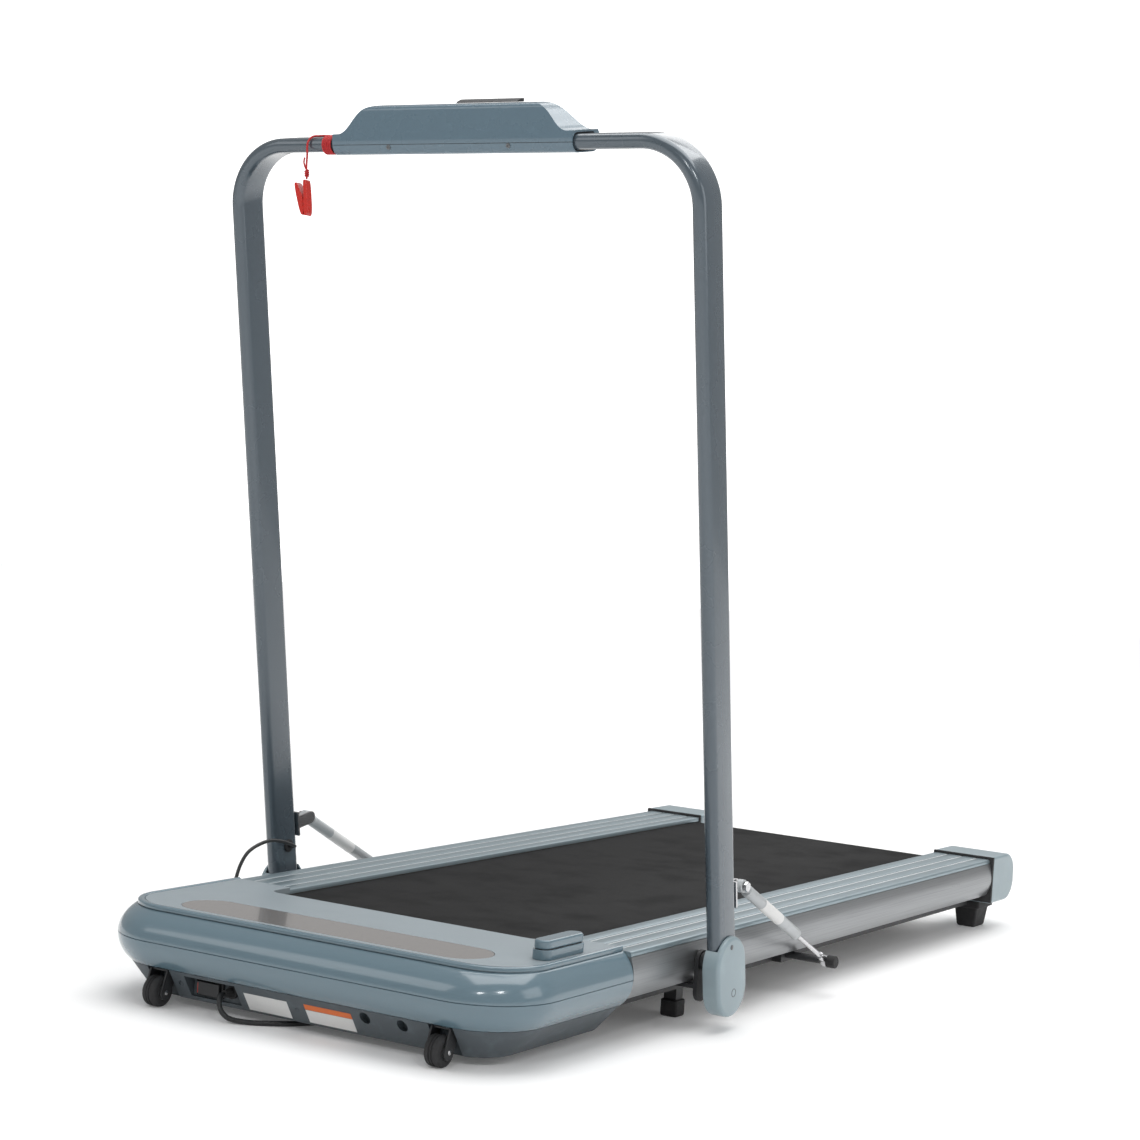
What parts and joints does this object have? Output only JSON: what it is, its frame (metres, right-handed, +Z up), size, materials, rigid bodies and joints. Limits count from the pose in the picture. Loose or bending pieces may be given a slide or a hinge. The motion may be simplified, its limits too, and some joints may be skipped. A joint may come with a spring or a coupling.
{
  "type": "folding walking treadmill",
  "caption": "Low walking treadmill with a motor hood at the front and a U-shaped handle carrying a small console, which folds down over the belt on gas springs.",
  "frame": {"origin": "on the floor, under the middle of the machine", "axes": "-Y the motor hood end, +Y the rear end, +X the side that carries the small pod, +Z up"},
  "size_m": [0.691, 1.424, 1.0855],
  "materials": {
    "hood_blue": "glossy",
    "tub_slate": "satin",
    "panel_grey": "satin",
    "inlay_taupe": "glossy",
    "rail_blue": "satin anodised",
    "side_silver": "bright anodised",
    "cap_blue": "glossy",
    "tube_paint": "semi gloss powder coat",
    "frame_black": "powder coat",
    "belt_black": "woven matte",
    "rubber_black": "matte",
    "chrome": "polished",
    "spring_grey": "satin",
    "plastic_black": "satin",
    "deck_wood": "waxed board",
    "steel": "brushed",
    "red": "glossy",
    "red_string": "braided",
    "console_blue": "satin"
  },
  "bodies": {
    "base": {"chassis_frame": "frame_black", "deck_board": "deck_wood", "running_belt": "belt_black", "drive_belt": "rubber_black", "motor": "steel", "motor_controller": "steel", "hood_upper_shell": "hood_blue", "hood_lower_shell": "hood_blue", "top_panel": "panel_grey", "display_window": "inlay_taupe", "corner_pod": "hood_blue", "base_tub": "tub_slate", "switch_bezel": "plastic_black", "cord_gland": "plastic_black", "wheel_fork_left": "plastic_black", "wheel_fork_right": "plastic_black", "foot_rail_left": "rail_blue", "foot_rail_right": "rail_blue", "side_panel_left": "side_silver", "side_panel_right": "side_silver", "end_cap_left": "cap_blue", "end_cap_right": "cap_blue", "rear_foot_left": "rubber_black", "rear_foot_right": "rubber_black", "front_foot_left": "rubber_black", "front_foot_right": "rubber_black", "hinge_bracket_left": "frame_black", "hinge_bracket_right": "frame_black", "signal_cable": "rubber_black", "mains_cord": "plastic_black", "mains_coil": "plastic_black", "mains_plug": "plastic_black"},
    "handle": {"handle_tube": "tube_paint", "cable_grommet": "rubber_black", "pivot_cover_left": "cap_blue", "pivot_cover_right": "cap_blue", "spring_bracket_left": "chrome", "spring_bracket_right": "chrome", "console_upper": "console_blue", "console_lower": "console_blue", "console_display": "plastic_black", "device_rest": "plastic_black", "lanyard_winding": "red_string", "lanyard_to_key": "red_string", "lanyard_free_end": "red_string", "lanyard_clip": "red"},
    "front_roller": {"front_roller": "steel"},
    "rear_roller": {"rear_roller": "steel"},
    "motor_pulley": {"motor_pulley": "steel"},
    "wheel_left": {"transport_wheel_left": "rubber_black"},
    "wheel_right": {"transport_wheel_right": "rubber_black"},
    "gas_cylinder_left": {"gas_cylinder_left": "spring_grey"},
    "gas_cylinder_right": {"gas_cylinder_right": "spring_grey"},
    "gas_rod_left": {"gas_rod_left": "chrome"},
    "gas_rod_right": {"gas_rod_right": "chrome"},
    "rocker": {"rocker_switch": "red"},
    "start_key": {"start_key": "red"},
    "speed_key": {"speed_key": "plastic_black"},
    "safety_key": {"safety_key": "red"},
    "clip_jaw": {"clip_jaw": "red"}
  },
  "joints": [
    {"name": "handle_fold", "type": "hinge", "parent": "base", "child": "handle", "pos_m": [0, -0.296, 0.08], "axis": [-1, 0, 0], "range_deg": [0, 96], "deforming": ["signal_cable"]},
    {"name": "front_roller_spin", "type": "hinge", "parent": "base", "child": "front_roller", "pos_m": [0, -0.535, 0.0829], "axis": [1, 0, 0], "continuous": true},
    {"name": "rear_roller_spin", "type": "hinge", "parent": "base", "child": "rear_roller", "pos_m": [0, 0.603, 0.0829], "axis": [1, 0, 0], "continuous": true},
    {"name": "motor_pulley_spin", "type": "hinge", "parent": "base", "child": "motor_pulley", "pos_m": [0.22, -0.612, 0.073], "axis": [1, 0, 0], "continuous": true},
    {"name": "wheel_spin_left", "type": "hinge", "parent": "base", "child": "wheel_left", "pos_m": [-0.2, -0.694, 0.018], "axis": [1, 0, 0], "continuous": true},
    {"name": "gas_cylinder_swing_left", "type": "hinge", "parent": "handle", "child": "gas_cylinder_left", "pos_m": [-0.33, -0.25717, 0.16954], "axis": [1, 0, 0], "range_deg": [0, 126.05]},
    {"name": "gas_rod_slide_left", "type": "slide", "parent": "gas_cylinder_left", "child": "gas_rod_left", "axis": [0, 0.8959, -0.4442], "range_m": [-0.0752, 0]},
    {"name": "wheel_spin_right", "type": "hinge", "parent": "base", "child": "wheel_right", "pos_m": [0.2, -0.694, 0.018], "axis": [1, 0, 0], "continuous": true},
    {"name": "gas_cylinder_swing_right", "type": "hinge", "parent": "handle", "child": "gas_cylinder_right", "pos_m": [0.33, -0.25717, 0.16954], "axis": [1, 0, 0], "range_deg": [0, 126.05]},
    {"name": "gas_rod_slide_right", "type": "slide", "parent": "gas_cylinder_right", "child": "gas_rod_right", "axis": [0, 0.8959, -0.4442], "range_m": [-0.0752, 0]},
    {"name": "rocker_tilt", "type": "hinge", "parent": "base", "child": "rocker", "pos_m": [-0.137, -0.6748, 0.0279], "axis": [0, 0, -1], "range_deg": [0, 12]},
    {"name": "start_key_press", "type": "slide", "parent": "handle", "child": "start_key", "axis": [0, -0.7293, -0.6842], "range_m": [0, 0.001], "stiffness_N_per_m": 600, "springref_m": -0.001},
    {"name": "speed_key_press", "type": "slide", "parent": "handle", "child": "speed_key", "axis": [0, -0.7293, -0.6842], "range_m": [0, 0.001], "stiffness_N_per_m": 600, "springref_m": -0.001},
    {"name": "safety_key_pull", "type": "slide", "parent": "handle", "child": "safety_key", "axis": [0, 0.7293, 0.6842], "range_m": [0, 0.012], "deforming": ["lanyard_to_key"]},
    {"name": "clip_open", "type": "hinge", "parent": "handle", "child": "clip_jaw", "pos_m": [-0.20755, -0.49405, 0.96309], "axis": [0, 1, 0], "range_deg": [0, 14], "stiffness_Nm_per_rad": 0.01, "springref_deg": -17.19}
  ],
  "couplings": [
    {"joint": "rear_roller_spin", "follows": "front_roller_spin", "ratio": 1},
    {"joint": "motor_pulley_spin", "follows": "front_roller_spin", "ratio": 1.8264},
    {"joint": "gas_cylinder_swing_left", "follows": "handle_fold", "ratio": 1.3125},
    {"joint": "gas_rod_slide_left", "follows": "handle_fold", "m_per_rad": -0.044726},
    {"joint": "gas_cylinder_swing_right", "follows": "handle_fold", "ratio": 1.3125},
    {"joint": "gas_rod_slide_right", "follows": "handle_fold", "m_per_rad": -0.044726}
  ]
}
